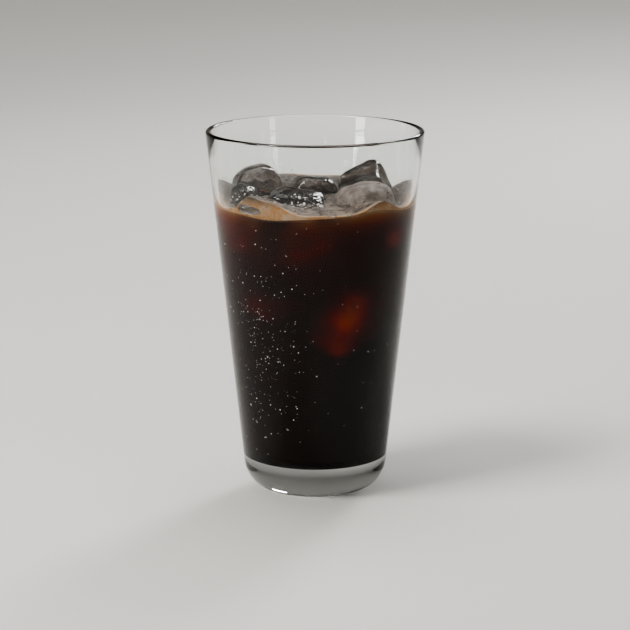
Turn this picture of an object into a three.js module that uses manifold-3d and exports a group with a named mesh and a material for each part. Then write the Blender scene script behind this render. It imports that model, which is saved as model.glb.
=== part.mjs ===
// Iced espresso in a tapered pint glass: a thick-based tumbler, black coffee, a wavy layer of crema
// and the ice pieces that stand up through it. Millimetres, +Z up, the origin under the middle of the foot.
import * as THREE from "three";
import { mergeVertices } from "three/addons/utils/BufferGeometryUtils.js";
import Module from "manifold-3d";

const wasm = await Module();
wasm.setup();

// The glass
const GLASS_HEIGHT = 149;
const RIM_RADIUS = 44.45; // the outer wall carried up to the rim
const FOOT_RADIUS = 28.2; // the outer wall carried down to the table
const LIP_RADIUS = 1.05; // the fire-polished rim is a full round
const WALL_AT_FLOOR = 3.6;
const FLOOR_HEIGHT = 13.6; // the solid glass under the drink
const FLOOR_FILLET = 5;
const HEEL_HEIGHT = 12.6; // the heel rounds off as a quarter ellipse
const HEEL_REACH = 11.4;
const FOOT_RING_WIDTH = 3.2; // the flat ring that the glass stands on
const PUNT_RISE = 1.6; // the underside domes up inside that ring

// The drink
const COFFEE_LEVEL = 119.4; // where coffee and crema meet, on average
const COFFEE_CALM_DEPTH = 22; // the wave dies out this far below the level
const CREMA_LEVEL = 121.4; // the crema's bare top, away from wall and ice
const CREMA_RIM_LEVEL = 120.3; // its lowest edge on the glass
const GAP = 0.3; // between pieces that touch

// Crests of the crema on the glass wall: angle from the front (degrees, right is positive), rise and width
const CREMA_CRESTS = [
  { angle: -40, rise: 6.2, width: 9 },
  { angle: -25, rise: 4.4, width: 10 },
  { angle: 41, rise: 4.6, width: 11 },
  { angle: 88, rise: 8.2, width: 13 },
  { angle: -88, rise: 8.2, width: 11 },
  { angle: -150, rise: 4.2, width: 32 },
  { angle: 150, rise: 3.6, width: 32 },
];
// Swells of the line where coffee and crema meet, along the wall
const COFFEE_SWELLS = [
  { angle: 37, rise: 2.1, width: 17 },
  { angle: -27, rise: -1.4, width: 18 },
  { angle: -84, rise: 1.2, width: 16 },
  { angle: 95, rise: 1.1, width: 18 },
  { angle: 180, rise: 0.8, width: 45 },
];

// The ice that shows: centre, size before melting, tilt about X, Y and Z (degrees) and squareness
const ICE = {
  ice_front_left: { at: [-21.8, -26.2, 122.2], size: [16, 12, 6.6], tilt: [6, 2, -39], squareness: 2.8 },
  ice_left: { at: [-29, -6.2, 117.2], size: [13, 14, 19], tilt: [8, 10, 12], squareness: 3 },
  ice_back_left: { at: [-24.6, 11.6, 120.6], size: [20, 18, 22], tilt: [-12, 6, 20], squareness: 3 },
  ice_centre: { at: [-7.6, -8.2, 115.8], size: [26, 18, 22], tilt: [14, 9, -8], squareness: 3.2 },
  ice_back_centre: { at: [-1, 11.6, 117.4], size: [21, 17, 22], tilt: [-10, 6, 6], squareness: 3 },
  ice_back_right: { at: [21.9, 11.4, 119.8], size: [20, 18, 20], tilt: [16, -27, -12], squareness: 5 },
  ice_front_right: { at: [21.6, -12.6, 117.8], size: [23, 21, 22], tilt: [-10, -14, 34], squareness: 3.4 },
};
const ICE_MELT = 0.045; // share of the size that melting takes off here and leaves there
const ICE_MELT_WAVES = [2.3, 2.7, 2.1]; // how quickly that changes along a piece's X, Y and Z

// Mesh steps
const AROUND = 56;
const ICE_STEPS = 6;
const SURFACE_RINGS = { coffee: 4, crema: 9 };

const outerRadius = (z) => FOOT_RADIUS + ((RIM_RADIUS - FOOT_RADIUS) * z) / GLASS_HEIGHT;

function wallThickness(z) {
  const share = (GLASS_HEIGHT - z) / (GLASS_HEIGHT - FLOOR_HEIGHT);
  return 2 * LIP_RADIUS + (WALL_AT_FLOOR - 2 * LIP_RADIUS) * share;
}

const innerRadius = (z) => outerRadius(z) - wallThickness(z);

// A sum of bell curves along the wall, by angle from the front in degrees.
function alongWall(bells, angle) {
  return bells.reduce((sum, { angle: centre, rise, width }) => {
    const away = THREE.MathUtils.euclideanModulo(angle - centre + 180, 360) - 180;
    return sum + rise * Math.exp(-((away / width) ** 2));
  }, 0);
}

const angleFromFront = (x, y) => THREE.MathUtils.radToDeg(Math.atan2(x, -y));

// Height where coffee and crema meet: flat in the middle, wavy along the wall.
function coffeeTop(x, y) {
  const share = Math.min(1, Math.hypot(x, y) / innerRadius(COFFEE_LEVEL));
  return COFFEE_LEVEL + share ** 2 * alongWall(COFFEE_SWELLS, angleFromFront(x, y));
}

// Height of the crema's top: it climbs the glass in crests.
function cremaTop(x, y) {
  const share = Math.min(1, Math.hypot(x, y) / innerRadius(CREMA_LEVEL));
  const edge = CREMA_RIM_LEVEL + alongWall(CREMA_CRESTS, angleFromFront(x, y));
  return THREE.MathUtils.lerp(CREMA_LEVEL, edge, THREE.MathUtils.smoothstep(share, 0.55, 1));
}

// A closed mesh as a solid that can be joined and cut.
function solidOf(geometry) {
  const bare = new THREE.BufferGeometry();
  bare.setAttribute("position", geometry.getAttribute("position"));
  bare.setIndex(geometry.index);
  const merged = mergeVertices(bare, 1e-4);
  const mesh = new wasm.Mesh({
    numProp: 3,
    vertProperties: new Float32Array(merged.getAttribute("position").array),
    triVerts: new Uint32Array(merged.index.array),
  });
  return new wasm.Manifold(mesh);
}

// A solid back as a mesh's geometry, without any loose scraps.
function geometryOf(solid) {
  const bodies = solid.decompose().sort((a, b) => b.volume() - a.volume());
  const { vertProperties, triVerts } = bodies[0].getMesh();
  const geometry = new THREE.BufferGeometry();
  geometry.setAttribute("position", new THREE.BufferAttribute(vertProperties, 3));
  geometry.setIndex(new THREE.BufferAttribute(triVerts, 1));
  geometry.computeVertexNormals();
  return geometry;
}

// A lathe round +Z from a profile whose x is the radius and y the height, rising on the outside.
function latheUp(points) {
  return new THREE.LatheGeometry(points, AROUND).rotateX(Math.PI / 2);
}

// Section of the glass from the middle of the underside, up the outside, over the lip and down to the floor.
function glassSection() {
  const taper = (RIM_RADIUS - FOOT_RADIUS) / GLASS_HEIGHT;
  const heelEnd = Math.atan((-taper * HEEL_HEIGHT) / HEEL_REACH); // where the heel runs into the wall
  const heelEndHeight = HEEL_HEIGHT * (1 + Math.sin(heelEnd));
  const ringOuter = outerRadius(heelEndHeight) - HEEL_REACH * Math.cos(heelEnd);
  const ringInner = ringOuter - FOOT_RING_WIDTH;
  const lipHeight = GLASS_HEIGHT - LIP_RADIUS;
  const lipCentre = outerRadius(lipHeight) - LIP_RADIUS;
  const filletTop = FLOOR_HEIGHT + FLOOR_FILLET;
  const filletCentre = innerRadius(filletTop) - FLOOR_FILLET;
  const heel = new THREE.EllipseCurve(ringOuter, HEEL_HEIGHT, HEEL_REACH, HEEL_HEIGHT, -Math.PI / 2, heelEnd);
  const lip = new THREE.EllipseCurve(lipCentre, lipHeight, LIP_RADIUS, LIP_RADIUS, 0, Math.PI);
  const fillet = new THREE.EllipseCurve(
    filletCentre, filletTop, FLOOR_FILLET, FLOOR_FILLET, 0, -Math.PI / 2, true,
  );
  return [
    new THREE.Vector2(0, PUNT_RISE),
    new THREE.Vector2(ringInner * 0.6, PUNT_RISE * 0.64),
    new THREE.Vector2(ringInner, 0),
    ...heel.getPoints(8),
    ...lip.getPoints(6),
    ...fillet.getPoints(5),
    new THREE.Vector2(0, FLOOR_HEIGHT),
  ];
}

function makeGlass() {
  return latheUp(glassSection());
}

// The drink's section: the inside of the glass, a gap clear of it, from floor to level.
function makeCoffee(iceSpaces) {
  const floor = FLOOR_HEIGHT + GAP;
  const filletTop = floor + FLOOR_FILLET;
  const filletCentre = innerRadius(filletTop) - FLOOR_FILLET - GAP;
  const fillet = new THREE.EllipseCurve(filletCentre, filletTop, FLOOR_FILLET, FLOOR_FILLET, -Math.PI / 2, 0);
  const calm = COFFEE_LEVEL - COFFEE_CALM_DEPTH;
  const top = COFFEE_LEVEL - GAP / 2;
  const topRadius = innerRadius(top) - GAP;
  const points = [new THREE.Vector2(0, floor), ...fillet.getPoints(5)];
  points.push(new THREE.Vector2(innerRadius(calm) - GAP, calm), new THREE.Vector2(topRadius, top));
  for (let ring = SURFACE_RINGS.coffee - 1; ring >= 0; ring -= 1) {
    points.push(new THREE.Vector2((topRadius * ring) / SURFACE_RINGS.coffee, top));
  }
  const body = latheUp(points);
  liftTo(body, top, (x, y) => coffeeTop(x, y) - GAP / 2);
  return geometryOf(cutAll(solidOf(body), iceSpaces));
}

// Moves the vertices that lie at one height onto a surface, and edge vertices along the sloping wall.
function liftTo(geometry, height, surface) {
  const taper = (innerRadius(height + 1) - innerRadius(height - 1)) / 2;
  const place = geometry.getAttribute("position");
  for (let i = 0; i < place.count; i += 1) {
    if (Math.abs(place.getZ(i) - height) > 1e-3) continue;
    const [x, y] = [place.getX(i), place.getY(i)];
    const lift = surface(x, y) - height;
    const share = Math.hypot(x, y) / (innerRadius(height) - GAP);
    const spread = 1 + (taper * lift * share ** 2) / innerRadius(height);
    place.setXYZ(i, x * spread, y * spread, height + lift);
  }
}

// The crema: a layer on the coffee, as thick as its crests are high, cut round the ice.
function makeCrema(iceSpaces) {
  const bottom = COFFEE_LEVEL + GAP / 2;
  const top = CREMA_LEVEL;
  const bottomRadius = innerRadius(bottom) - GAP;
  const topRadius = innerRadius(top) - GAP;
  const points = [];
  for (let ring = 0; ring <= SURFACE_RINGS.coffee; ring += 1) {
    points.push(new THREE.Vector2((bottomRadius * ring) / SURFACE_RINGS.coffee, bottom));
  }
  for (let ring = SURFACE_RINGS.crema; ring >= 0; ring -= 1) {
    points.push(new THREE.Vector2((topRadius * ring) / SURFACE_RINGS.crema, top));
  }
  const body = latheUp(points);
  liftTo(body, bottom, (x, y) => coffeeTop(x, y) + GAP / 2);
  liftTo(body, top, cremaTop);
  return geometryOf(cutAll(solidOf(body), iceSpaces));
}

function cutAll(solid, cutters) {
  return cutters.reduce((rest, cutter) => rest.subtract(cutter), solid);
}

// The room inside the glass, a gap clear of its wall.
function makeRoom() {
  const points = [FLOOR_HEIGHT, GLASS_HEIGHT].map((z) => new THREE.Vector2(innerRadius(z) - GAP, z));
  points.unshift(new THREE.Vector2(0, FLOOR_HEIGHT));
  points.push(new THREE.Vector2(0, GLASS_HEIGHT));
  return solidOf(latheUp(points));
}

// A cube of ice, melted to a soft block: a box pushed onto a superellipsoid, then worn unevenly.
function iceBlock({ at, size, tilt, squareness }, grow = 0) {
  const block = new THREE.BoxGeometry(2, 2, 2, ICE_STEPS, ICE_STEPS, ICE_STEPS);
  const place = block.getAttribute("position");
  for (let i = 0; i < place.count; i += 1) {
    const spot = [place.getX(i), place.getY(i), place.getZ(i)];
    const reach = spot.reduce((sum, v) => sum + Math.abs(v) ** squareness, 0) ** (1 / squareness);
    const waves = spot.map((v, axis) => Math.sin((ICE_MELT_WAVES[axis] * v) / reach + at[axis]));
    const swell = (1 + ICE_MELT * (waves[0] + waves[1] + waves[2])) / reach;
    place.setXYZ(i, ...spot.map((v, axis) => v * swell * (size[axis] / 2 + grow)));
  }
  const [turnX, turnY, turnZ] = tilt.map(THREE.MathUtils.degToRad);
  block.rotateX(turnX).rotateY(turnY).rotateZ(turnZ);
  return block.translate(...at);
}

const FINISH = {
  glass: { color: 0xdfe8e4, roughness: 0.03, metalness: 0, transparent: true, opacity: 0.3 },
  coffee: { color: 0x1a0604, roughness: 0.12, metalness: 0 },
  crema: { color: 0xa07d57, roughness: 0.65, metalness: 0 },
  ice: { color: 0xcfd4d6, roughness: 0.08, metalness: 0, transparent: true, opacity: 0.5 },
};

function piece(name, geometry, finish) {
  const mesh = new THREE.Mesh(geometry, new THREE.MeshStandardMaterial(FINISH[finish]));
  mesh.name = name;
  return mesh;
}

const icedEspresso = new THREE.Group();
const room = makeRoom();
const iceSpaces = Object.values(ICE).map((chunk) => solidOf(iceBlock(chunk, GAP)));
icedEspresso.add(piece("glass", makeGlass(), "glass"));
icedEspresso.add(piece("coffee", makeCoffee(iceSpaces), "coffee"));
icedEspresso.add(piece("crema", makeCrema(iceSpaces), "crema"));
for (const [name, chunk] of Object.entries(ICE)) {
  // ice that leans on the glass is flattened against it
  const block = solidOf(iceBlock(chunk)).intersect(room);
  icedEspresso.add(piece(name, geometryOf(block), "ice"));
}

export default icedEspresso;
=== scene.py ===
"""Looks of an iced espresso: a clear tapered glass, black coffee, crema and melting ice."""

import math

import bmesh
import bpy
import numpy as np
from mathutils import Euler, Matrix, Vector, noise


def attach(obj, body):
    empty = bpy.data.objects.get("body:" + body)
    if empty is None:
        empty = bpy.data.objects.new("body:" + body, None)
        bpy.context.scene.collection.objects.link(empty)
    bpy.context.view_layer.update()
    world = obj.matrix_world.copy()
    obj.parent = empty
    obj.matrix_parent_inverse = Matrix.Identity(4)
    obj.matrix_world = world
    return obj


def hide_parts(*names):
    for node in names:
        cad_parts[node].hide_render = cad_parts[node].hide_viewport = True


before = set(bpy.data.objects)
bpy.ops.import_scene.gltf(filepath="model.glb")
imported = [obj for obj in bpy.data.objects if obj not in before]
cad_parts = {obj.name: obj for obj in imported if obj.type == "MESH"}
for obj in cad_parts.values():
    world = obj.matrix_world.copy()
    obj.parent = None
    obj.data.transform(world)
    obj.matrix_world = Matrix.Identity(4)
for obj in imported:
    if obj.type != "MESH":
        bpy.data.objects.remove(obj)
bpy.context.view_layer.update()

MM = 0.001

# The glass, in millimetres
GLASS_HEIGHT = 149
RIM_RADIUS = 44.45
FOOT_RADIUS = 28.2
LIP_RADIUS = 1.05
WALL_AT_FLOOR = 3.6
FLOOR_HEIGHT = 13.6
FLOOR_FILLET = 5
HEEL_HEIGHT = 12.6
HEEL_REACH = 11.4
FOOT_RING_WIDTH = 3.2
PUNT_RISE = 1.6

# The drink, in millimetres
COFFEE_LEVEL = 119.4
CREMA_LEVEL = 121.4
CREMA_RIM_LEVEL = 120.3
INTO_WALL = 0.15  # how far the coffee reaches into the glass, so that no air shows between them
CREMA_INTO_WALL = 1.5 * INTO_WALL
CREMA_OVERLAP = 0.3  # how far the crema reaches into the coffee
ICE_OVERLAP = 0.3  # how far the ice reaches into the drink
FOAM_RELIEF = 0.6  # height of the lumps on the crema
FOAM_BAND = (0.2, 2.2)  # depths behind the wall where the crema's golden band fades into foam
FOAM_DARKENS = (-26, -8)  # places from front to back where the foam turns brown
FOAM_THINS = (122.6, 127.0)  # heights where the crema on the wall turns thin and grey
COFFEE_LOSS = (295, 760, 1400)  # how fast coffee takes red, green and blue light, per metre

# Crests of the crema on the wall: angle from the front in degrees, rise and width
CREMA_CRESTS = [
    (-40, 6.2, 9), (-25, 4.4, 10), (41, 4.6, 11), (88, 8.2, 13),
    (-88, 8.2, 11), (-150, 4.2, 32), (150, 3.6, 32),
]
# Swells of the line where coffee and crema meet, in the same terms
COFFEE_SWELLS = [(37, 2.1, 17), (-27, -1.4, 18), (-84, 1.2, 16), (95, 1.1, 18), (180, 0.8, 45)]

# Ice that stands through the crema: centre, size, tilt in degrees and squareness
ICE = {
    "ice_front_left": ((-21.8, -26.2, 122.2), (16, 12, 6.6), (6, 2, -39), 2.8),
    "ice_left": ((-29, -6.2, 117.2), (13, 14, 19), (8, 10, 12), 3),
    "ice_back_left": ((-24.6, 11.6, 120.6), (20, 18, 22), (-12, 6, 20), 3),
    "ice_centre": ((-7.6, -8.2, 115.8), (26, 18, 22), (14, 9, -8), 3.2),
    "ice_back_centre": ((-1, 11.6, 117.4), (21, 17, 22), (-10, 6, 6), 3),
    "ice_back_right": ((21.9, 11.4, 119.8), (20, 18, 20), (16, -27, -12), 5),
    "ice_front_right": ((21.6, -12.6, 117.8), (23, 21, 22), (-10, -14, 34), 3.4),
}
FOAMY = "ice_front_right"  # the block under a film of foam
ICE_MELT = 0.045  # how unevenly the blocks have melted, as a share of their size
ICE_MELT_WAVES = (2.3, 2.7, 2.1)
ICE_RELIEF = 0.5  # depth of the dents in the ice

# Ice sunk in the coffee, which only places its painted glows: angle from the front, height, depth behind the
# wall, size and tilt
SUNK_ICE = [
    (24, 80, 1.4, (12, 12, 19), (6, 10, 8)),
    (16, 64, 2.6, (10, 10, 10), (10, -8, 30)),
    (27, 79, 7.4, (22, 14, 32), (4, 14, 6)),
    (-3, 106, 5.4, (22, 14, 12), (8, -38, 5)),
    (57, 109, 5.2, (16, 13, 17), (-6, 10, 12)),
    (-58, 109, 6.6, (18, 13, 20), (5, -12, -8)),
    (-36, 82, 8.0, (18, 14, 18), (-10, 20, 10)),
    (95, 88, 5.4, (20, 14, 24), (6, 25, -10)),
    (122, 58, 4.8, (16, 13, 18), (-8, 20, 15)),
    (160, 98, 5.6, (24, 14, 18), (8, -12, 20)),
    (-165, 70, 3.6, (14, 14, 22), (-8, 16, -10)),
    (-160, 74, 6.5, (26, 14, 32), (6, 12, 4)),
    (-118, 92, 5.4, (20, 14, 18), (6, 20, 15)),
    (-88, 62, 5.6, (15, 13, 18), (6, -24, 10)),
]
SUNK_SQUARENESS = 3.4
SUNK_REACH = 30  # nothing deeper than this shows through the coffee
GLOW_BLUR = 30  # rounds of blur that give the glows of sunk ice soft edges

# Froth on the ice: the block, the middle of the froth and how far it reaches
FROTH = [
    ("ice_left", (-28.5, -12.5, 122.5), 6.5),
    ("ice_centre", (-4.5, -18, 121.5), 9.5),
]

# Dew on the glass: where it is thickest and how far it spreads, as angle from the front and height
DEW_MIDDLE = (-34, 66)
DEW_SPREAD = (24, 30)

# Mesh steps round the glass and the drink, and the drink's angles from the front in degrees
GLASS_AROUND = 192
AROUND = 240
ROUND = np.linspace(0, 360, AROUND, endpoint=False)

# The picture: metres and radians
CAMERA_PLACE = (0, -1.006, 0.296)
CAMERA_PITCH = 0.219
CAMERA_LENS = 143.3
LAMP_AIM = (0, 0, 0.08)
BLACK_POINT = 0.009


def outer_radius(z):
    return FOOT_RADIUS + (RIM_RADIUS - FOOT_RADIUS) * z / GLASS_HEIGHT


def wall_thickness(z):
    share = (GLASS_HEIGHT - z) / (GLASS_HEIGHT - FLOOR_HEIGHT)
    return 2 * LIP_RADIUS + (WALL_AT_FLOOR - 2 * LIP_RADIUS) * share


def inner_radius(z):
    return outer_radius(z) - wall_thickness(z)


def floor_fillet():
    """The centre of the rounding between floor and wall, as radius and height."""
    height = FLOOR_HEIGHT + FLOOR_FILLET
    return inner_radius(height) - FLOOR_FILLET, height


def on_arc(radius, height, bend, turn):
    """A point on a section's rounding, whose centre lies at a radius and a height."""
    return radius + bend * math.cos(turn), height + bend * math.sin(turn)


def along_wall(bells, angle):
    """A sum of bell curves along the wall, by angle from the front in degrees."""
    total = np.zeros_like(angle)
    for centre, rise, width in bells:
        away = (angle - centre + 180) % 360 - 180
        total += rise * np.exp(-((away / width) ** 2))
    return total


def coffee_top(share, angle):
    return COFFEE_LEVEL + share**2 * along_wall(COFFEE_SWELLS, angle)


def crema_top(share, angle):
    edge = CREMA_RIM_LEVEL + along_wall(CREMA_CRESTS, angle)
    step = min(1, max(0, (share - 0.55) / 0.45))
    blend = step * step * (3 - 2 * step)
    return CREMA_LEVEL + (edge - CREMA_LEVEL) * blend


# Node helpers


def add(tree, kind, inputs=None, **options):
    """Adds a node, sets its options, and fills or links its inputs by name or place."""
    made = tree.nodes.new(kind)
    for option, value in options.items():
        setattr(made, option, value)
    for key, value in (inputs or {}).items():
        if isinstance(value, bpy.types.NodeSocket):
            tree.links.new(value, made.inputs[key])
        else:
            made.inputs[key].default_value = value
    return made


def sum_up(tree, operation, *values):
    """A maths node's result."""
    return add(tree, "ShaderNodeMath", dict(enumerate(values)), operation=operation).outputs[0]


def new_group(name, kind, inputs, outputs):
    """A node group with the named inputs and outputs."""
    tree = bpy.data.node_groups.new(name, kind)
    for side, sockets in (("INPUT", inputs), ("OUTPUT", outputs)):
        for label, socket in sockets.items():
            tree.interface.new_socket(label, in_out=side, socket_type="NodeSocket" + socket)
    return tree, tree.nodes.new("NodeGroupInput").outputs, tree.nodes.new("NodeGroupOutput").inputs


def new_tree(name, inputs):
    """A geometry node tree with a Geometry input, the named further inputs and a Geometry output."""
    shape = {"Geometry": "Geometry"}
    return new_group(name, "GeometryNodeTree", {**shape, **inputs}, shape)


def apply_tree(obj, tree, **values):
    """Runs a geometry node tree on an object and leaves plain mesh."""
    modifier = obj.modifiers.new(tree.name, "NODES")
    modifier.node_group = tree
    for item in tree.interface.items_tree:
        if item.in_out == "INPUT" and item.name in values:
            modifier[item.identifier] = values[item.name]
    settle(obj)


def settle(obj):
    """Turns an object's modifiers into plain mesh."""
    graph = bpy.context.evaluated_depsgraph_get()
    mesh = bpy.data.meshes.new_from_object(obj.evaluated_get(graph))
    obj.modifiers.clear()
    obj.data = mesh


def mesh_object(name, points, faces, edges=()):
    mesh = bpy.data.meshes.new(name)
    mesh.from_pydata([tuple(p) for p in points], edges, faces)
    obj = bpy.data.objects.new(name, mesh)
    bpy.context.scene.collection.objects.link(obj)
    return obj


def dress(obj, material):
    """Gives an object one material and a smooth surface."""
    obj.data.materials.clear()
    obj.data.materials.append(material)
    obj.data.shade_smooth()


# Geometry trees


def lathe_tree():
    """Turns a section in the XZ plane round the Z axis."""
    tree, given, out = new_tree("lathe", {"Around": "Int", "Material": "Material"})
    counted = add(tree, "GeometryNodeAttributeDomainSize", {"Geometry": given["Geometry"]})
    count = counted.outputs["Point Count"]
    columns = sum_up(tree, "ADD", given["Around"], 1)
    size = {"Size X": 1, "Size Y": 1, "Vertices X": count, "Vertices Y": columns}
    sheet = add(tree, "GeometryNodeMeshGrid", size).outputs["Mesh"]
    place = add(tree, "GeometryNodeInputPosition").outputs[0]
    apart = add(tree, "ShaderNodeSeparateXYZ", {0: place}).outputs
    along = sum_up(tree, "MULTIPLY", sum_up(tree, "ADD", apart["X"], 0.5), sum_up(tree, "SUBTRACT", count, 1))
    index = sum_up(tree, "ROUND", along)
    found = add(
        tree, "GeometryNodeSampleIndex", {"Geometry": given["Geometry"], "Value": place, "Index": index},
        data_type="FLOAT_VECTOR",
    ).outputs[0]
    section = add(tree, "ShaderNodeSeparateXYZ", {0: found}).outputs
    angle = sum_up(tree, "MULTIPLY", sum_up(tree, "ADD", apart["Y"], 0.5), 2 * math.pi)
    spot = add(tree, "ShaderNodeCombineXYZ", {
        "X": sum_up(tree, "MULTIPLY", section["X"], sum_up(tree, "SINE", angle)),
        "Y": sum_up(tree, "MULTIPLY", section["X"], sum_up(tree, "COSINE", angle)),
        "Z": section["Z"],
    }).outputs[0]
    turned = add(tree, "GeometryNodeSetPosition", {"Geometry": sheet, "Position": spot}).outputs[0]
    closed = add(tree, "GeometryNodeMergeByDistance", {"Geometry": turned, "Distance": 1e-6}).outputs[0]
    rounded = add(tree, "GeometryNodeSetShadeSmooth", {"Geometry": closed}).outputs[0]
    dressed = add(tree, "GeometryNodeSetMaterial", {"Geometry": rounded, "Material": given["Material"]})
    tree.links.new(dressed.outputs[0], out[0])
    return tree


def beads_tree():
    """Scatters beads on a surface, as thick as its 'amount' attribute says."""
    inputs = {
        "Density": "Float", "Smallest": "Float", "Largest": "Float", "Flatness": "Float",
        "Steps": "Int", "Seed": "Int", "Material": "Material",
    }
    tree, given, out = new_tree("beads", inputs)
    amount = add(tree, "GeometryNodeInputNamedAttribute", {"Name": "amount"}, data_type="FLOAT").outputs[0]
    spread = add(tree, "GeometryNodeDistributePointsOnFaces", {
        "Mesh": given["Geometry"],
        "Density": sum_up(tree, "MULTIPLY", amount, given["Density"]),
        "Seed": given["Seed"],
    }, distribute_method="RANDOM")
    chance = add(tree, "FunctionNodeRandomValue", {2: 0.0, 3: 1.0, "Seed": given["Seed"]}, data_type="FLOAT")
    skew = sum_up(tree, "POWER", chance.outputs[1], 3)
    growth = sum_up(tree, "SUBTRACT", given["Largest"], given["Smallest"])
    size = sum_up(tree, "ADD", given["Smallest"], sum_up(tree, "MULTIPLY", skew, growth))
    scale = add(tree, "ShaderNodeCombineXYZ", {
        "X": size, "Y": size, "Z": sum_up(tree, "MULTIPLY", size, given["Flatness"]),
    }).outputs[0]
    ball = add(tree, "GeometryNodeMeshIcoSphere", {"Radius": 1.0, "Subdivisions": given["Steps"]}).outputs[0]
    placed = add(tree, "GeometryNodeInstanceOnPoints", {
        "Points": spread.outputs["Points"],
        "Instance": ball,
        "Rotation": spread.outputs["Rotation"],
        "Scale": scale,
    }).outputs[0]
    other = sum_up(tree, "ADD", given["Seed"], 1)
    tone = add(tree, "FunctionNodeRandomValue", {2: 0.0, 3: 1.0, "Seed": other}, data_type="FLOAT").outputs[1]
    toned = add(tree, "GeometryNodeStoreNamedAttribute", {
        "Geometry": placed, "Name": "shade", "Value": tone,
    }, data_type="FLOAT", domain="INSTANCE").outputs[0]
    real = add(tree, "GeometryNodeRealizeInstances", {"Geometry": toned}).outputs[0]
    rounded = add(tree, "GeometryNodeSetShadeSmooth", {"Geometry": real}).outputs[0]
    dressed = add(tree, "GeometryNodeSetMaterial", {"Geometry": rounded, "Material": given["Material"]})
    tree.links.new(dressed.outputs[0], out[0])
    return tree


def depth_tree():
    """Stores on the coffee how far behind its surface the sunk ice lies, which sets the painted glows."""
    inputs = {"Sunk Ice": "Object", "Reach": "Float", "Blur": "Int", "Material": "Material"}
    tree, given, out = new_tree("depth_of_ice", inputs)
    ice = add(tree, "GeometryNodeObjectInfo", {"Object": given["Sunk Ice"]}).outputs["Geometry"]
    place = add(tree, "GeometryNodeInputPosition").outputs[0]
    inward = add(tree, "ShaderNodeVectorMath", {0: place, 1: (-1, -1, 0)}, operation="MULTIPLY").outputs[0]
    hit = add(tree, "GeometryNodeRaycast", {
        "Target Geometry": ice,
        "Source Position": place,
        "Ray Direction": inward,
        "Ray Length": given["Reach"],
    })
    depth = add(tree, "GeometryNodeSwitch", {
        "Switch": hit.outputs["Is Hit"], "False": given["Reach"], "True": hit.outputs["Hit Distance"],
    }, input_type="FLOAT").outputs[0]
    blur = {0: depth, "Iterations": given["Blur"]}
    soft = add(tree, "GeometryNodeBlurAttribute", blur, data_type="FLOAT").outputs[0]
    stored = add(tree, "GeometryNodeStoreNamedAttribute", {
        "Geometry": given["Geometry"], "Name": "ice_depth", "Value": soft,
    }, data_type="FLOAT", domain="POINT").outputs[0]
    dressed = add(tree, "GeometryNodeSetMaterial", {"Geometry": stored, "Material": given["Material"]})
    tree.links.new(dressed.outputs[0], out[0])
    return tree


# Materials


def new_material(name, **values):
    """A material with a Principled shader, whose named inputs are set."""
    material = bpy.data.materials.new(name)
    material.use_nodes = True
    shader = material.node_tree.nodes["Principled BSDF"]
    for label, value in values.items():
        shader.inputs[label.replace("_", " ")].default_value = value
    return material, material.node_tree, shader


def let_lamps_through(tree, shader, tint):
    """Lamps shine through what is clear instead of leaving a solid shadow."""
    lamps = add(tree, "ShaderNodeLightPath").outputs["Is Shadow Ray"]
    clear = add(tree, "ShaderNodeBsdfTransparent", {"Color": tint}).outputs[0]
    mixed = add(tree, "ShaderNodeMixShader", {0: lamps, 1: shader.outputs[0], 2: clear}).outputs[0]
    tree.links.new(mixed, tree.nodes["Material Output"].inputs["Surface"])


def spot_in(tree):
    """Object coordinates in millimetres."""
    place = add(tree, "ShaderNodeTexCoord").outputs["Object"]
    return add(tree, "ShaderNodeMapping", {"Vector": place, "Scale": (1 / MM,) * 3}).outputs[0]


def speckle_group():
    """Noise between 0 and 1, sharpened between two levels."""
    inputs = {"Vector": "Vector", "Scale": "Float", "Low": "Float", "High": "Float", "Detail": "Float"}
    tree, given, out = new_group("speckle", "ShaderNodeTree", inputs, {"Value": "Float"})
    look = {"Vector": given["Vector"], "Scale": given["Scale"], "Detail": given["Detail"]}
    rough = add(tree, "ShaderNodeTexNoise", look).outputs[0]
    sharp = add(tree, "ShaderNodeMapRange", {0: rough, 1: given["Low"], 2: given["High"]}).outputs[0]
    tree.links.new(sharp, out["Value"])
    return tree


def bubbles_group(speckles):
    """Burst bubbles in foam: where their pits lie, and the normal of the pitted surface."""
    inputs = {"Vector": "Vector", "Scale": "Float", "Depth": "Float"}
    tree, given, out = new_group("bubbles", "ShaderNodeTree", inputs, {"Pits": "Float", "Normal": "Vector"})
    place = given["Vector"]
    cells = add(tree, "ShaderNodeTexVoronoi", {"Vector": place, "Scale": given["Scale"]}).outputs["Distance"]
    holes = add(tree, "ShaderNodeMapRange", {0: cells, 1: 0.12, 2: 0.3, 3: 1.0, 4: 0.0}).outputs[0]
    look = {"Vector": place, "Scale": 0.4, "Low": 0.46, "High": 0.6, "Detail": 3.0}
    rare = add(tree, "ShaderNodeGroup", look, node_tree=speckles).outputs["Value"]
    pits = sum_up(tree, "MULTIPLY", holes, rare)
    close = sum_up(tree, "MULTIPLY", given["Scale"], 2.2)
    fine = add(tree, "ShaderNodeTexVoronoi", {"Vector": place, "Scale": close}).outputs["Distance"]
    height = sum_up(tree, "SUBTRACT", fine, pits)
    relief = {"Height": height, "Strength": 0.6, "Distance": given["Depth"]}
    bump = add(tree, "ShaderNodeBump", relief).outputs[0]
    tree.links.new(pits, out["Pits"])
    tree.links.new(bump, out["Normal"])
    return tree


SPECKLE = speckle_group()
BUBBLES = bubbles_group(SPECKLE)


def speckle(tree, vector, scale, low, high, detail=3.0):
    """The speckle group's value in a material."""
    look = {"Vector": vector, "Scale": scale, "Low": low, "High": high, "Detail": detail}
    return add(tree, "ShaderNodeGroup", look, node_tree=SPECKLE).outputs["Value"]


def bubbles(tree, vector, scale, depth):
    """The bubbles group's pits and normal in a material."""
    look = {"Vector": vector, "Scale": scale, "Depth": depth}
    return add(tree, "ShaderNodeGroup", look, node_tree=BUBBLES).outputs


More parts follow.
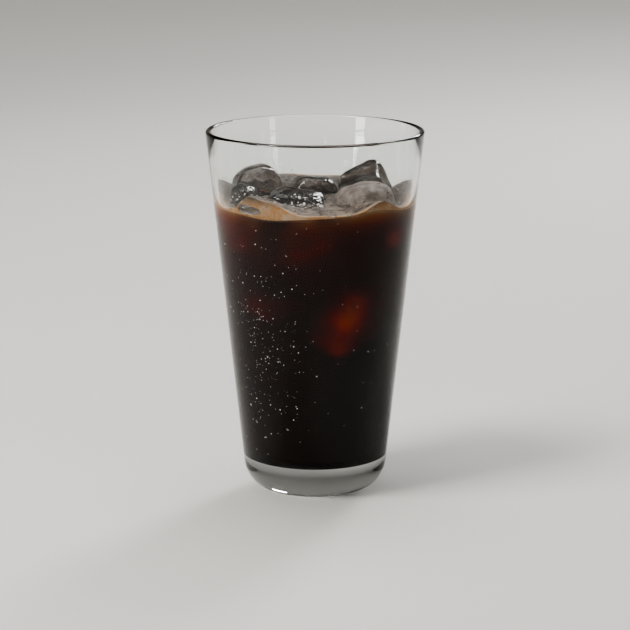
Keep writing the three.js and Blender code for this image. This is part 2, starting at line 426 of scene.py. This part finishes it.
def mix(tree, factor, first, second):
    """A colour between two others, by a factor."""
    return add(tree, "ShaderNodeMix", {0: factor, 6: first, 7: second}, data_type="RGBA").outputs[2]


def add_up(tree, first, second):
    """Two colours together."""
    inputs = {0: 1.0, 6: first, 7: second}
    return add(tree, "ShaderNodeMix", inputs, data_type="RGBA", blend_type="ADD").outputs[2]


def glass_material():
    """Clear glass with a faint green tint."""
    material, tree, shader = new_material(
        "clear_glass", Base_Color=(0.975, 0.99, 0.985, 1), Roughness=0.0, IOR=1.5, Transmission_Weight=1.0,
        Specular_IOR_Level=0.3,
    )
    let_lamps_through(tree, shader, (0.9, 0.92, 0.91, 1))
    return material


def fade(tree, distance, share, colour):
    """A painted glow's colour, dimmed by the coffee in front of it, which takes blue first and red last."""
    parts = {}
    for label, tint, rate in zip(("Red", "Green", "Blue"), colour, COFFEE_LOSS):
        kept = sum_up(tree, "EXPONENT", sum_up(tree, "MULTIPLY", distance, -rate * share))
        parts[label] = sum_up(tree, "MULTIPLY", kept, tint)
    return add(tree, "ShaderNodeCombineColor", parts).outputs[0]


def coffee_material():
    """Black coffee, with the light that comes through it from sunk ice and from the crema painted into its
    colour and emission.
    """
    material, tree, shader = new_material(
        "black_coffee", Roughness=0.12, Specular_IOR_Level=0.06, Emission_Strength=0.14,
    )
    # Painted light: glows of sunk ice and of the crema, dimmed by the coffee in front, go into the base
    # colour and the emission.
    depth = add(tree, "ShaderNodeAttribute", attribute_name="ice_depth").outputs["Fac"]
    under = add(tree, "ShaderNodeAttribute", attribute_name="crema_depth").outputs["Fac"]
    place = spot_in(tree)
    nothing = (0, 0, 0, 1)
    cloudy = speckle(tree, place, 0.09, 0.2, 0.6)
    ice = mix(tree, cloudy, nothing, fade(tree, depth, 1.5, (0.7, 0.5, 0.3)))
    patchy = speckle(tree, place, 0.045, 0.4, 0.68, 1.0)
    foam = mix(tree, patchy, nothing, fade(tree, under, 0.8, (0.15, 0.115, 0.075)))
    drifting = speckle(tree, place, 0.035, 0.3, 0.66, 2.0)
    light = mix(tree, drifting, nothing, fade(tree, under, 0.2, (0.04, 0.007, 0.003)))
    painted_glows = add_up(tree, add_up(tree, ice, foam), light)
    base = add_up(tree, painted_glows, (0.004, 0.0009, 0.0006, 1))
    tree.links.new(base, shader.inputs["Base Color"])
    tree.links.new(painted_glows, shader.inputs["Emission Color"])
    return material


def off_the_wall(tree, place):
    """How many millimetres a point lies inside the glass wall."""
    apart = add(tree, "ShaderNodeSeparateXYZ", {0: place}).outputs
    flat = add(tree, "ShaderNodeCombineXYZ", {"X": apart["X"], "Y": apart["Y"]}).outputs[0]
    out = add(tree, "ShaderNodeVectorMath", {0: flat}, operation="LENGTH").outputs["Value"]
    slope = inner_radius(1) - inner_radius(0)
    wall = sum_up(tree, "MULTIPLY_ADD", apart["Z"], slope, inner_radius(0))
    return sum_up(tree, "SUBTRACT", wall, out)


def share_of(tree, value, ends):
    """How far a value lies between two ends, from 0 to 1."""
    return add(tree, "ShaderNodeMapRange", {0: value, 1: ends[0], 2: ends[1]}).outputs[0]


def crema_material():
    """Tan foam on the glass, darker foam inside, and a thin grey film where it climbs the wall."""
    material, tree, shader = new_material("crema_foam", Roughness=0.5, Specular_IOR_Level=0.3)
    place = spot_in(tree)
    gold = (0.3, 0.16, 0.064, 1)
    pale = (0.33, 0.25, 0.175, 1)
    grey = (0.145, 0.107, 0.08, 1)
    brown = (0.055, 0.04, 0.03, 1)
    dark = (0.02, 0.01, 0.006, 1)
    thin = (0.045, 0.036, 0.03, 1)
    band = mix(tree, speckle(tree, place, 0.18, 0.42, 0.66), gold, pale)
    apart = add(tree, "ShaderNodeSeparateXYZ", {0: place}).outputs
    foam = mix(tree, share_of(tree, apart["Y"], FOAM_DARKENS), grey, brown)
    inside = mix(tree, speckle(tree, place, 0.22, 0.38, 0.62), dark, foam)
    colour = mix(tree, share_of(tree, off_the_wall(tree, place), FOAM_BAND), band, inside)
    colour = mix(tree, share_of(tree, apart["Z"], FOAM_THINS), colour, thin)
    burst = bubbles(tree, place, 1.1, 0.0006)
    # The pits of burst bubbles are painted dark, as painted shade in their hollows.
    colour = mix(tree, burst["Pits"], colour, dark)
    tree.links.new(colour, shader.inputs["Base Color"])
    tree.links.new(burst["Normal"], shader.inputs["Normal"])
    return material


def clear_ice_material():
    """Clear ice with a wet, worn surface."""
    material, tree, shader = new_material(
        "clear_ice", Base_Color=(0.92, 0.89, 0.86, 1), IOR=1.31, Transmission_Weight=1.0,
    )
    place = spot_in(tree)
    worn = speckle(tree, place, 0.12, 0.4, 0.66)
    rough = sum_up(tree, "MULTIPLY_ADD", worn, 0.05, 0.01)
    tree.links.new(rough, shader.inputs["Roughness"])
    waves = speckle(tree, place, 0.2, 0.0, 1.0)
    bump = add(tree, "ShaderNodeBump", {"Height": waves, "Strength": 0.5, "Distance": 0.0012}).outputs[0]
    tree.links.new(bump, shader.inputs["Normal"])
    let_lamps_through(tree, shader, (0.8, 0.78, 0.76, 1))
    return material


def foamy_ice_material():
    """Ice under a thin film of foam."""
    material, tree, shader = new_material("foamy_ice", Roughness=0.32, IOR=1.31, Transmission_Weight=0.35)
    place = spot_in(tree)
    thin = (0.13, 0.1, 0.085, 1)
    thick = (0.3, 0.25, 0.22, 1)
    colour = mix(tree, speckle(tree, place, 0.3, 0.38, 0.64), thin, thick)
    tree.links.new(colour, shader.inputs["Base Color"])
    tree.links.new(bubbles(tree, place, 1.3, 0.0004)["Normal"], shader.inputs["Normal"])
    return material


def bead_material(name, low, high, dark, pale, **values):
    """Beads whose own shade, from a low to a high level, takes them from dark to pale."""
    material, tree, shader = new_material(name, **values)
    shade = add(tree, "ShaderNodeAttribute", attribute_name="shade").outputs["Fac"]
    colour = mix(tree, share_of(tree, shade, (low, high)), dark, pale)
    tree.links.new(colour, shader.inputs["Base Color"])
    return material


# Pieces


def glass_section():
    """The wall's section from under the middle, up the outside, over the lip and down to the floor."""
    taper = (RIM_RADIUS - FOOT_RADIUS) / GLASS_HEIGHT
    heel_end = math.atan(-taper * HEEL_HEIGHT / HEEL_REACH)
    heel_top = HEEL_HEIGHT * (1 + math.sin(heel_end))
    ring_outer = outer_radius(heel_top) - HEEL_REACH * math.cos(heel_end)
    ring_inner = ring_outer - FOOT_RING_WIDTH
    lip_height = GLASS_HEIGHT - LIP_RADIUS
    lip_centre = outer_radius(lip_height) - LIP_RADIUS
    fillet_centre, fillet_top = floor_fillet()
    section = []
    for share in np.linspace(0, 1, 12):
        section.append((ring_inner * share, PUNT_RISE * (1 - share**2)))
    for turn in np.linspace(-math.pi / 2, heel_end, 20):
        section.append((ring_outer + HEEL_REACH * math.cos(turn), HEEL_HEIGHT * (1 + math.sin(turn))))
    for z in np.linspace(heel_top, lip_height, 14)[1:-1]:
        section.append((outer_radius(z), z))
    for turn in np.linspace(0, math.pi, 14):
        section.append(on_arc(lip_centre, lip_height, LIP_RADIUS, turn))
    for z in np.linspace(lip_height, fillet_top, 14)[1:-1]:
        section.append((inner_radius(z), z))
    for turn in np.linspace(0, -math.pi / 2, 12):
        section.append(on_arc(fillet_centre, fillet_top, FLOOR_FILLET, turn))
    for share in np.linspace(1, 0, 8)[1:]:
        section.append((fillet_centre * share, FLOOR_HEIGHT))
    return section


def turned(name, section, material, around, scale=MM):
    """A round piece from its section, as radius and height."""
    points = [(r * scale, 0, z * scale) for r, z in section]
    edges = [(i, i + 1) for i in range(len(points) - 1)]
    obj = mesh_object(name, points, [], edges)
    apply_tree(obj, lathe_tree(), Around=around, Material=material)
    return obj


def ring_solid(name, rings):
    """A closed round solid from rings of points, from its middle below to its middle above."""
    count = len(rings[0])
    points = [rings[0].mean(axis=0), *np.concatenate(rings), rings[-1].mean(axis=0)]
    last = 1 + (len(rings) - 1) * count
    faces = []
    for i in range(count):
        j = (i + 1) % count
        faces.append((0, 1 + j, 1 + i))
        faces.append((len(points) - 1, last + i, last + j))
        for row in range(1, last, count):
            faces.append((row + i, row + j, row + count + j, row + count + i))
    return mesh_object(name, points, faces)


def ring(radius, height):
    """A ring of points round the drink, beginning at the front."""
    turn = np.radians(ROUND)
    radius = radius * np.ones_like(turn)
    height = height * np.ones_like(turn)
    return np.stack([radius * np.sin(turn), -radius * np.cos(turn), height], axis=1) * MM


def ice_block(name, spec, grow=0.0, steps=26, relief=0.0):
    """A melted cube: a box pushed onto a superellipsoid, unevenly worn and dented."""
    at, size, tilt, squareness = spec
    mesh = bmesh.new()
    bmesh.ops.create_cube(mesh, size=2)
    bmesh.ops.subdivide_edges(mesh, edges=mesh.edges, cuts=steps, use_grid_fill=True)
    turn = Euler([math.radians(a) for a in tilt]).to_matrix()
    for vert in mesh.verts:
        reach = sum(abs(v) ** squareness for v in vert.co) ** (1 / squareness)
        waves = sum(math.sin(w * v / reach + a) for w, v, a in zip(ICE_MELT_WAVES, vert.co, at))
        swell = (1 + ICE_MELT * waves) / reach
        spot = Vector([v * swell * (s / 2 + grow) for v, s in zip(vert.co, size)])
        spot += relief * noise.noise(spot * 0.22 + Vector(at)) * spot.normalized()
        spot = turn @ spot + Vector(at)
        vert.co = spot * MM
    made = bpy.data.meshes.new(name)
    mesh.to_mesh(made)
    mesh.free()
    obj = bpy.data.objects.new(name, made)
    bpy.context.scene.collection.objects.link(obj)
    return obj


def press_on_glass(obj):
    """Flattens what leans on the glass against it."""
    for vert in obj.data.vertices:
        limit = (inner_radius(vert.co.z / MM) + INTO_WALL / 2) * MM
        reach = math.hypot(vert.co.x, vert.co.y)
        if reach > limit:
            vert.co.x *= limit / reach
            vert.co.y *= limit / reach


def cut(obj, cutters):
    """Takes the cutters' room out of an object."""
    for cutter in cutters:
        modifier = obj.modifiers.new("cut", "BOOLEAN")
        modifier.operation = "DIFFERENCE"
        modifier.solver = "EXACT"
        modifier.object = cutter
    settle(obj)


def make_glass(material):
    obj = turned("tumbler", glass_section(), material, GLASS_AROUND)
    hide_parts("glass")
    return obj


def make_coffee(material, cutters, sunk):
    floor = FLOOR_HEIGHT - INTO_WALL
    fillet_centre, fillet_top = floor_fillet()
    bend = FLOOR_FILLET + INTO_WALL
    rings = [ring(fillet_centre * share, floor) for share in (0.25, 0.5, 0.75)]
    for turn in np.linspace(-math.pi / 2, 0, 9):
        rings.append(ring(*on_arc(fillet_centre, fillet_top, bend, turn)))
    edge = coffee_top(1, ROUND)
    for share in np.linspace(0, 1, 130)[1:]:
        height = fillet_top + (edge - fillet_top) * share
        rings.append(ring(inner_radius(height) + INTO_WALL, height))
    for share in np.linspace(1, 0, 20)[1:-1]:
        rings.append(ring(inner_radius(edge) * share, coffee_top(share, ROUND)))
    obj = ring_solid("coffee_body", rings)
    # How deep each point lies below the crema line, which sets the painted glow under the crema
    under = obj.data.attributes.new("crema_depth", "FLOAT", "POINT")
    spots = np.array([v.co for v in obj.data.vertices]) / MM
    line = coffee_top(1, np.degrees(np.arctan2(spots[:, 0], -spots[:, 1])))
    under.data.foreach_set("value", (np.maximum(line - spots[:, 2], 0) * MM).astype(np.float32))
    glow = {"Sunk Ice": sunk, "Reach": SUNK_REACH * MM, "Blur": GLOW_BLUR, "Material": material}
    apply_tree(obj, depth_tree(), **glow)
    cut(obj, cutters)
    obj.data.shade_smooth()
    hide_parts("coffee")
    return obj


def make_crema(material, cutters):
    low = coffee_top(1, ROUND)
    high = crema_top(1, ROUND)
    rings = []
    for share in np.linspace(0, 1, 14)[1:-1]:
        rings.append(ring(inner_radius(low) * share, coffee_top(share, ROUND) - CREMA_OVERLAP))
    for share in np.linspace(0, 1, 14):
        height = low + (high - low) * share
        rings.append(ring(inner_radius(height) + CREMA_INTO_WALL, height))
    for share in np.linspace(1, 0, 60)[1:-1]:
        rings.append(ring(inner_radius(high) * share, crema_top(share, ROUND)))
    obj = ring_solid("crema_layer", rings)
    for vert in obj.data.vertices:
        spot = vert.co / MM
        inside = 1 - min(1, max(0, (spot.xy.length - inner_radius(spot.z) + 3) / 3))
        swell = noise.fractal(spot * 0.3, 1.0, 2.0, 3) * FOAM_RELIEF * inside
        if spot.z > COFFEE_LEVEL + 1:
            vert.co.z += swell * MM
    cut(obj, cutters)
    dress(obj, material)
    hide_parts("crema")
    return obj


def make_ice():
    clear = clear_ice_material()
    foamy = foamy_ice_material()
    for node, spec in ICE.items():
        obj = ice_block(node.replace("ice", "melting_ice"), spec, relief=ICE_RELIEF)
        press_on_glass(obj)
        dress(obj, foamy if node == FOAMY else clear)
        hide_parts(node)
        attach(obj, "root")


def join(objects):
    """Makes one object of several."""
    with bpy.context.temp_override(active_object=objects[0], selected_editable_objects=objects):
        bpy.ops.object.join()
    return objects[0]


def make_sunk_ice():
    """The ice behind the painted glows in the coffee, as one object."""
    blocks = []
    for place, (angle, height, depth, size, tilt) in enumerate(SUNK_ICE):
        turn = math.radians(angle)
        out = inner_radius(height) - depth - size[1] / 2
        at = (out * math.sin(turn), -out * math.cos(turn), height)
        turned_out = (tilt[0], tilt[1], tilt[2] + angle)
        blocks.append(ice_block(f"sunk_{place}", (at, size, turned_out, SUNK_SQUARENESS), steps=10))
    return join(blocks)


def set_amount(obj, values):
    """Stores at each point how thick the beads lie there."""
    obj.data.attributes.new("amount", "FLOAT", "POINT").data.foreach_set("value", values)


def wall_patch(name, radius, low, high, rows, amount):
    """A band of the glass wall that carries how thick the beads lie on it."""
    heights = np.linspace(low, high, rows)
    points = np.concatenate([ring(radius(z), z) for z in heights])
    faces = []
    for row in range(rows - 1):
        for i in range(AROUND):
            j = (i + 1) % AROUND
            a = row * AROUND
            faces.append((a + i, a + j, a + AROUND + j, a + AROUND + i))
    obj = mesh_object(name, points, faces)
    set_amount(obj, [amount(angle, z) for z in heights for angle in ROUND])
    return obj


def dew_amount(angle, z):
    """Dew gathers on the front left of the glass."""
    away = (angle - DEW_MIDDLE[0] + 180) % 360 - 180
    patch = math.exp(-((away / DEW_SPREAD[0]) ** 2) - ((z - DEW_MIDDLE[1]) / DEW_SPREAD[1]) ** 2)
    turn = math.radians(angle)
    lumps = noise.noise(Vector((math.sin(turn) * 4, math.cos(turn) * 4, z * 0.09)))
    return max(0, 0.03 + patch * (0.75 + 1.1 * lumps))


def film_amount(angle, z):
    """A film of foam climbs the wall at both sides and thins out upwards."""
    edge = float(crema_top(1, np.array([float(angle)]))[0])
    sides = math.sin(math.radians(angle)) ** 4
    if z < edge - 1:
        return 0.0
    return math.exp(-(z - edge + 1) / (0.4 + 0.8 * sides))


def make_beads(tree, obj, **values):
    """Turns a surface into the beads that lie on it."""
    apply_tree(obj, tree, **values)
    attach(obj, "root")


def copy_of(name, obj):
    made = bpy.data.objects.new(name, obj.data.copy())
    bpy.context.scene.collection.objects.link(made)
    return made


def froth_surface(crema):
    """The ice and the crema near the middles of the froth, as a surface for it."""
    patches = [ice_block("froth", ICE[node], grow=0.1, relief=ICE_RELIEF) for node, _, _ in FROTH]
    patches.append(copy_of("froth_on_crema", crema))
    for obj in patches:
        values = []
        for vert in obj.data.vertices:
            near = [1 - ((vert.co / MM - Vector(centre)).length / reach) ** 2 for _, centre, reach in FROTH]
            values.append(max(0.0, *near))
        set_amount(obj, values)
    return join(patches)


def bubbly_surface(crema):
    """The tops of the crema and of the foamy ice, with bubbles in drifts."""
    patches = [copy_of("crema_bubbles", crema), ice_block("foamy_ice", ICE[FOAMY], relief=ICE_RELIEF)]
    for obj in patches:
        values = []
        for vert in obj.data.vertices:
            lumps = noise.noise(vert.co / MM * 0.16)
            values.append(max(0.0, vert.normal.z) * max(0.0, 0.4 + lumps))
        set_amount(obj, values)
    return join(patches)


def make_dew(tree):
    # The clear drops are painted from faint grey to white; the pale ones are painted glints of the lamps in
    # the drops.
    faint = (0.2, 0.19, 0.19, 1)
    painted_glint = (0.8, 0.76, 0.76, 1)
    material = bead_material("dew", 0.3, 1.0, faint, painted_glint, Roughness=0.25)
    patch = wall_patch("dew_specks", outer_radius, 18, 118, 90, dew_amount)
    make_beads(
        tree, patch, Density=300000.0, Smallest=0.16 * MM, Largest=0.34 * MM, Flatness=0.5,
        Steps=1, Seed=4, Material=material,
    )


def make_film(tree):
    thin = (0.09, 0.075, 0.062, 1)
    thick = (0.26, 0.22, 0.19, 1)
    material = bead_material("foam_specks", 0.0, 1.0, thin, thick, Roughness=0.35)
    film = wall_patch("foam_film", inner_radius, 118, 133, 60, film_amount)
    make_beads(
        tree, film, Density=3200000.0, Smallest=0.1 * MM, Largest=0.42 * MM, Flatness=0.6,
        Steps=1, Seed=7, Material=material,
    )


def make_froth(tree, crema):
    # A share of the beads is painted pale, as painted glints on the froth's bubbles; the rest stay dark.
    dark = (0.012, 0.007, 0.005, 1)
    painted_sparkle = (0.6, 0.55, 0.52, 1)
    material = bead_material("froth_bubbles", 0.7, 0.9, dark, painted_sparkle, Roughness=0.06)
    make_beads(
        tree, froth_surface(crema), Density=1200000.0, Smallest=0.3 * MM, Largest=0.75 * MM, Flatness=1.0,
        Steps=2, Seed=11, Material=material,
    )


def make_crema_bubbles(tree, crema):
    dark = (0.06, 0.042, 0.032, 1)
    pale = (0.26, 0.2, 0.16, 1)
    material = bead_material("crema_bubbles", 0.1, 0.8, dark, pale, Roughness=0.1)
    make_beads(
        tree, bubbly_surface(crema), Density=600000.0, Smallest=0.1 * MM, Largest=0.55 * MM, Flatness=0.7,
        Steps=2, Seed=5, Material=material,
    )


# Stage


def make_stage():
    """A pale floor that bends up into a round wall, in metres."""
    material, _, _ = new_material("pale_floor", Base_Color=(0.56, 0.55, 0.53, 1), Roughness=0.9)
    wall = 3.0
    bend = 1.8
    height = 3.0
    section = [(0, 0)]
    for turn in np.linspace(-math.pi / 2, 0, 16):
        section.append(on_arc(wall - bend, bend, bend, turn))
    section.append((wall, height))
    bowl = turned("studio_bowl", section, material, 96, 1.0)


def add_lamp(name, at, size, power, colour=(1, 1, 1)):
    lamp = bpy.data.lights.new(name, "AREA")
    lamp.shape = "RECTANGLE"
    lamp.size, lamp.size_y = size
    lamp.energy = power
    lamp.color = colour
    obj = bpy.data.objects.new(name, lamp)
    obj.location = at
    obj.rotation_mode = "QUATERNION"
    obj.rotation_quaternion = (Vector(LAMP_AIM) - Vector(at)).to_track_quat("-Z", "Y")
    bpy.context.scene.collection.objects.link(obj)


def make_lights():
    add_lamp("key", (-0.7, -0.4, 1.1), (0.45, 0.45), 10, (1, 0.97, 0.93))
    add_lamp("top", (-0.1, 0.5, 2.0), (1.5, 1.5), 16)
    add_lamp("left_window", (-0.85, -0.62, 0.36), (0.22, 0.6), 3.0)
    add_lamp("right_window", (0.9, -0.75, 0.36), (0.14, 0.6), 1.0)
    add_lamp("back", (0.5, 1.1, 0.9), (0.3, 0.8), 8)
    world = bpy.data.worlds.new("studio")
    world.use_nodes = True
    world.node_tree.nodes["Background"].inputs["Color"].default_value = (0.5, 0.5, 0.5, 1)
    world.node_tree.nodes["Background"].inputs["Strength"].default_value = 0.18
    bpy.context.scene.world = world


def set_view():
    """A contrasty picture with its black point raised to the haze on the glass."""
    view = bpy.context.scene.view_settings
    view.view_transform = "AgX"
    view.look = "AgX - High Contrast"
    view.exposure = 0.2
    view.use_curve_mapping = True
    view.curve_mapping.black_level = (BLACK_POINT,) * 3
    view.curve_mapping.update()


def make_camera():
    camera = bpy.data.cameras.new("photo_view")
    camera.sensor_width = 36
    camera.lens = CAMERA_LENS
    obj = bpy.data.objects.new("photo_view", camera)
    obj.location = CAMERA_PLACE
    obj.rotation_euler = (math.pi / 2 - CAMERA_PITCH, 0, 0)
    bpy.context.scene.collection.objects.link(obj)
    bpy.context.scene.camera = obj


def remove(objects):
    for obj in objects:
        bpy.data.objects.remove(obj)


cutters = [ice_block("cutter_" + node, spec, -ICE_OVERLAP, 16) for node, spec in ICE.items()]
sunk = make_sunk_ice()
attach(make_glass(glass_material()), "root")
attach(make_coffee(coffee_material(), cutters, sunk), "root")
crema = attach(make_crema(crema_material(), cutters), "root")
remove([*cutters, sunk])
make_ice()
beads = beads_tree()
make_dew(beads)
make_film(beads)
make_froth(beads, crema)
make_crema_bubbles(beads, crema)
make_stage()
make_lights()
make_camera()
set_view()
